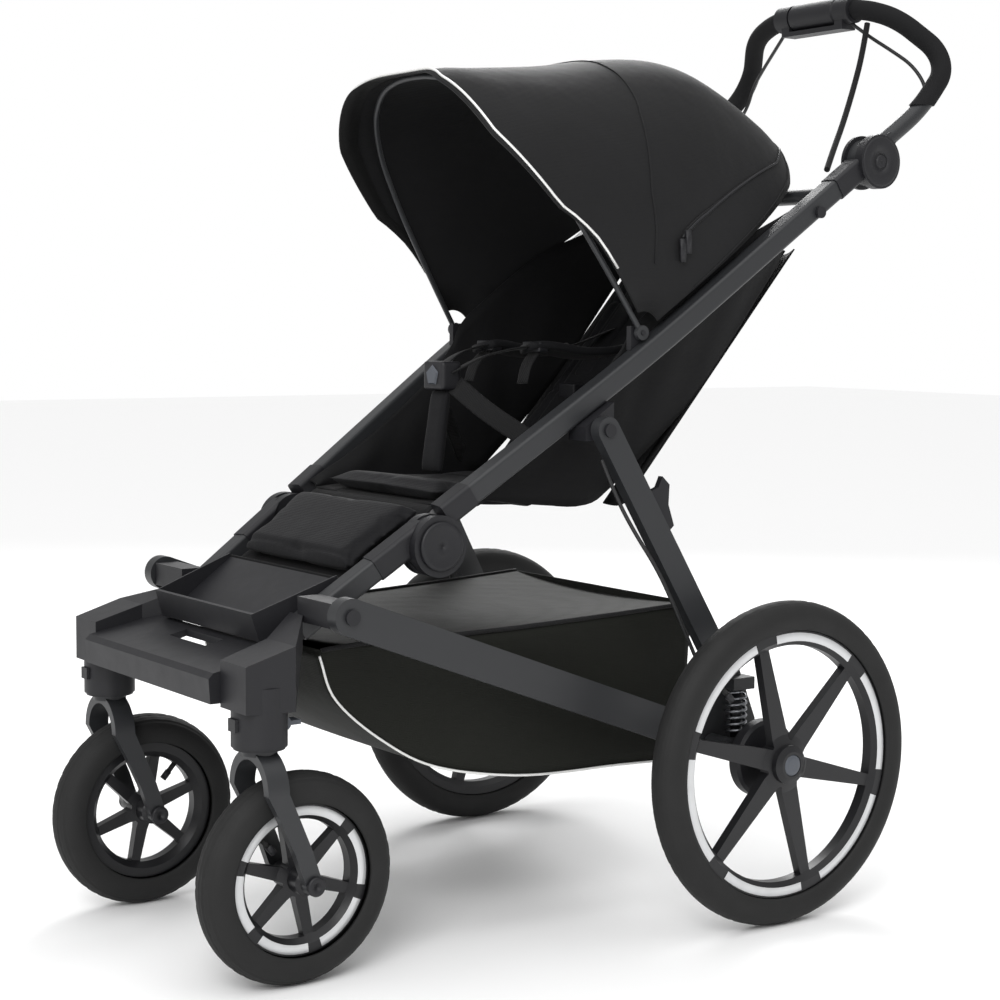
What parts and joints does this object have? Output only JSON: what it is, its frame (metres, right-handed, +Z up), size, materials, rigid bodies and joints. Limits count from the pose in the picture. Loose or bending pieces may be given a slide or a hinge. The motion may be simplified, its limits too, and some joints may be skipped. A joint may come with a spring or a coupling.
{
  "type": "jogging stroller",
  "caption": "Folding jogging stroller with large rear wheels, swivelling front wheels, a sprung rear axle, a canopy, a reclining seat, a basket and a tilting handlebar.",
  "frame": {"origin": "on the floor under the middle of the whole outline", "axes": "+X towards the stroller's left side, +Y towards its rear, +Z up; the front is at -Y"},
  "size_m": [0.6898, 1.1283, 1.1841],
  "materials": {
    "powder_coated_tube": "fine textured powder coat",
    "cast_plastic": "moulded, satin",
    "soft_grip": "foam, matt",
    "rim_plastic": "moulded, satin",
    "tyre_rubber": "ribbed rubber",
    "steel_axle": "plated",
    "spring_steel": "black coated",
    "seat_fabric": "plain weave",
    "pad_fabric": "padded plain weave",
    "canopy_fabric": "coated plain weave",
    "basket_fabric": "coated plain weave",
    "webbing": "woven webbing",
    "grey_button": "moulded, satin",
    "cable_sheath": "extruded, satin"
  },
  "bodies": {
    "main_frame": {"upper_tubes": "powder_coated_tube", "fold_knuckles": "cast_plastic", "fold_hinge_pins": "cast_plastic", "handle_hinge_housings": "cast_plastic", "back_cross_tube": "powder_coated_tube", "frame_brackets": "cast_plastic", "seat_shell": "seat_fabric", "seat_cushion": "pad_fabric", "canopy_rear": "canopy_fabric", "harness_lower": "webbing", "buckle": "cast_plastic"},
    "handlebar": {"handle_tube": "powder_coated_tube", "handle_grips": "soft_grip", "brake_housing": "cast_plastic", "handle_brake_cables": "cable_sheath", "wrist_strap": "webbing"},
    "brake_grip": {"brake_twist_grip": "cast_plastic"},
    "seat_back": {"backrest": "pad_fabric", "shoulder_straps": "webbing"},
    "canopy": {"canopy_front": "canopy_fabric", "canopy_bow": "powder_coated_tube"},
    "buckle_release": {"buckle_button": "grey_button"},
    "front_frame": {"lower_tubes": "powder_coated_tube", "fold_sockets": "cast_plastic", "caster_housings": "cast_plastic", "front_crossmember": "cast_plastic", "footrest_tray": "cast_plastic", "calf_pad": "pad_fabric", "side_bar_brackets": "cast_plastic"},
    "rear_legs": {"rear_struts": "powder_coated_tube", "rear_axle_tube": "powder_coated_tube", "transport_hook": "cast_plastic", "strut_brake_cables": "cable_sheath", "suspension_springs": "spring_steel"},
    "side_links": {"side_bars": "powder_coated_tube", "basket": "basket_fabric"},
    "caster_left": {"caster_fork_left": "powder_coated_tube", "front_axle_left": "steel_axle"},
    "front_wheel_left": {"front_rim_left": "rim_plastic", "front_tyre_left": "tyre_rubber"},
    "swivel_lock_left": {"swivel_lever_left": "grey_button"},
    "caster_release_left": {"wheel_button_left": "cast_plastic"},
    "suspension_left": {"swing_arm_left": "powder_coated_tube", "drum_brake_left": "cast_plastic"},
    "rear_wheel_left": {"rear_rim_left": "rim_plastic", "rear_tyre_left": "tyre_rubber"},
    "hub_release_left": {"hub_cap_left": "grey_button"},
    "handle_release_left": {"handle_button_left": "cast_plastic"},
    "caster_right": {"caster_fork_right": "powder_coated_tube", "front_axle_right": "steel_axle"},
    "front_wheel_right": {"front_rim_right": "rim_plastic", "front_tyre_right": "tyre_rubber"},
    "swivel_lock_right": {"swivel_lever_right": "grey_button"},
    "caster_release_right": {"wheel_button_right": "cast_plastic"},
    "suspension_right": {"swing_arm_right": "powder_coated_tube", "drum_brake_right": "cast_plastic"},
    "rear_wheel_right": {"rear_rim_right": "rim_plastic", "rear_tyre_right": "tyre_rubber"},
    "hub_release_right": {"hub_cap_right": "grey_button"},
    "handle_release_right": {"handle_button_right": "cast_plastic"}
  },
  "joints": [
    {"name": "fold", "type": "hinge", "parent": "main_frame", "child": "front_frame", "pos_m": [0, -0.24695, 0.476], "axis": [1, 0, 0], "range_deg": [0, 105], "deforming": ["basket"]},
    {"name": "rear_leg_fold", "type": "hinge", "parent": "main_frame", "child": "rear_legs", "pos_m": [0, -0.04295, 0.607], "axis": [1, 0, 0], "range_deg": [0, 53.6]},
    {"name": "side_bar_fold", "type": "hinge", "parent": "front_frame", "child": "side_links", "pos_m": [0, -0.39795, 0.412], "axis": [1, 0, 0], "range_deg": [-65.2, 0]},
    {"name": "handle_tilt", "type": "hinge", "parent": "main_frame", "child": "handlebar", "pos_m": [0, 0.41205, 0.945], "axis": [1, 0, 0], "range_deg": [-110, 10], "deforming": ["wrist_strap"]},
    {"name": "parking_brake_twist", "type": "hinge", "parent": "handlebar", "child": "brake_grip", "pos_m": [0, 0.50805, 1.1655], "axis": [1, 0, 0], "range_deg": [0, 40]},
    {"name": "seat_recline", "type": "hinge", "parent": "main_frame", "child": "seat_back", "pos_m": [0, 0.05005, 0.535], "axis": [1, 0, 0], "range_deg": [-25, 0]},
    {"name": "canopy_fold", "type": "hinge", "parent": "main_frame", "child": "canopy", "pos_m": [0, 0.03105, 0.722], "axis": [1, 0, 0], "range_deg": [-70, 0], "deforming": ["canopy_front", "canopy_rear"]},
    {"name": "buckle_press", "type": "slide", "parent": "main_frame", "child": "buckle_release", "axis": [0, 1, 0], "range_m": [0, 0.003], "stiffness_N_per_m": 400, "springref_m": -0.001},
    {"name": "caster_swivel_left", "type": "hinge", "parent": "front_frame", "child": "caster_left", "pos_m": [0.192, -0.48835, 0.27], "axis": [0, 0, 1], "continuous": true},
    {"name": "front_wheel_spin_left", "type": "hinge", "parent": "caster_left", "child": "front_wheel_left", "pos_m": [0.192, -0.44395, 0.1202], "axis": [1, 0, 0], "continuous": true},
    {"name": "swivel_lock_flip_left", "type": "hinge", "parent": "front_frame", "child": "swivel_lock_left", "pos_m": [0.192, -0.46235, 0.296], "axis": [1, 0, 0], "range_deg": [0, 35]},
    {"name": "caster_release_press_left", "type": "slide", "parent": "front_frame", "child": "caster_release_left", "axis": [0, 1, 0], "range_m": [0, 0.003], "stiffness_N_per_m": 400, "springref_m": -0.001},
    {"name": "suspension_travel_left", "type": "hinge", "parent": "rear_legs", "child": "suspension_left", "pos_m": [0.262, 0.11405, 0.218], "axis": [1, 0, 0], "range_deg": [0, 12], "stiffness_Nm_per_rad": 40, "springref_deg": -5.73, "deforming": ["suspension_springs"]},
    {"name": "rear_wheel_spin_left", "type": "hinge", "parent": "suspension_left", "child": "rear_wheel_left", "pos_m": [0.3237, 0.16205, 0.2], "axis": [1, 0, 0], "continuous": true},
    {"name": "hub_release_press_left", "type": "slide", "parent": "rear_wheel_left", "child": "hub_release_left", "axis": [-1, 0, 0], "range_m": [0, 0.003], "stiffness_N_per_m": 400, "springref_m": -0.001},
    {"name": "handle_release_press_left", "type": "slide", "parent": "main_frame", "child": "handle_release_left", "axis": [-1, 0, 0], "range_m": [0, 0.003], "stiffness_N_per_m": 400, "springref_m": -0.001},
    {"name": "caster_swivel_right", "type": "hinge", "parent": "front_frame", "child": "caster_right", "pos_m": [-0.192, -0.48835, 0.27], "axis": [0, 0, 1], "continuous": true},
    {"name": "front_wheel_spin_right", "type": "hinge", "parent": "caster_right", "child": "front_wheel_right", "pos_m": [-0.192, -0.44395, 0.1202], "axis": [1, 0, 0], "continuous": true},
    {"name": "swivel_lock_flip_right", "type": "hinge", "parent": "front_frame", "child": "swivel_lock_right", "pos_m": [-0.192, -0.46235, 0.296], "axis": [1, 0, 0], "range_deg": [0, 35]},
    {"name": "caster_release_press_right", "type": "slide", "parent": "front_frame", "child": "caster_release_right", "axis": [0, 1, 0], "range_m": [0, 0.003], "stiffness_N_per_m": 400, "springref_m": -0.001},
    {"name": "suspension_travel_right", "type": "hinge", "parent": "rear_legs", "child": "suspension_right", "pos_m": [-0.262, 0.11405, 0.218], "axis": [1, 0, 0], "range_deg": [0, 12], "stiffness_Nm_per_rad": 40, "springref_deg": -5.73},
    {"name": "rear_wheel_spin_right", "type": "hinge", "parent": "suspension_right", "child": "rear_wheel_right", "pos_m": [-0.3237, 0.16205, 0.2], "axis": [1, 0, 0], "continuous": true},
    {"name": "hub_release_press_right", "type": "slide", "parent": "rear_wheel_right", "child": "hub_release_right", "axis": [1, 0, 0], "range_m": [0, 0.003], "stiffness_N_per_m": 400, "springref_m": -0.001},
    {"name": "handle_release_press_right", "type": "slide", "parent": "main_frame", "child": "handle_release_right", "axis": [1, 0, 0], "range_m": [0, 0.003], "stiffness_N_per_m": 400, "springref_m": -0.001}
  ],
  "couplings": [
    {"joint": "rear_leg_fold", "follows": "fold", "ratio": 0.51},
    {"joint": "side_bar_fold", "follows": "fold", "ratio": -0.62}
  ]
}
